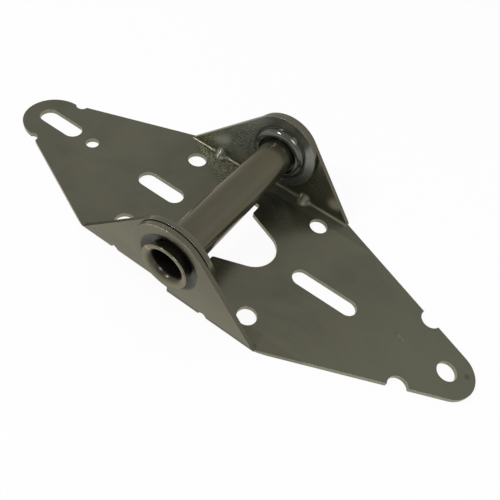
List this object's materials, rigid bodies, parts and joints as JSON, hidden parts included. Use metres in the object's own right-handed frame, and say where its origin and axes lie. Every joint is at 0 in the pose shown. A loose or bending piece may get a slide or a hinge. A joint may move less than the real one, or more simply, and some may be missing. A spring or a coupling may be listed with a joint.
{
  "type": "garage door hinge",
  "caption": "Folded steel garage door hinge: two slotted leaves with nested ears turning on a flared tube that carries a door roller's stem.",
  "frame": {"origin": "middle of the roller tube's axis", "axes": "+Y along the tube, +Z away from the door face, +X from the tube towards the outer leaf's tip"},
  "size_m": [0.2125, 0.0796, 0.0363],
  "materials": {
    "leaf_steel": "plain mill finish sheet steel, oiled and slightly dull",
    "tube_steel": "drawn steel tube, oiled, with a warm tint"
  },
  "bodies": {
    "outer_leaf": {"outer_leaf": "leaf_steel", "roller_tube": "tube_steel"},
    "inner_leaf": {"inner_leaf": "leaf_steel"}
  },
  "joints": [
    {"name": "leaf_fold", "type": "hinge", "parent": "outer_leaf", "child": "inner_leaf", "pos_m": [0, 0, 0], "axis": [0, 1, 0], "range_deg": [-3, 180]}
  ]
}
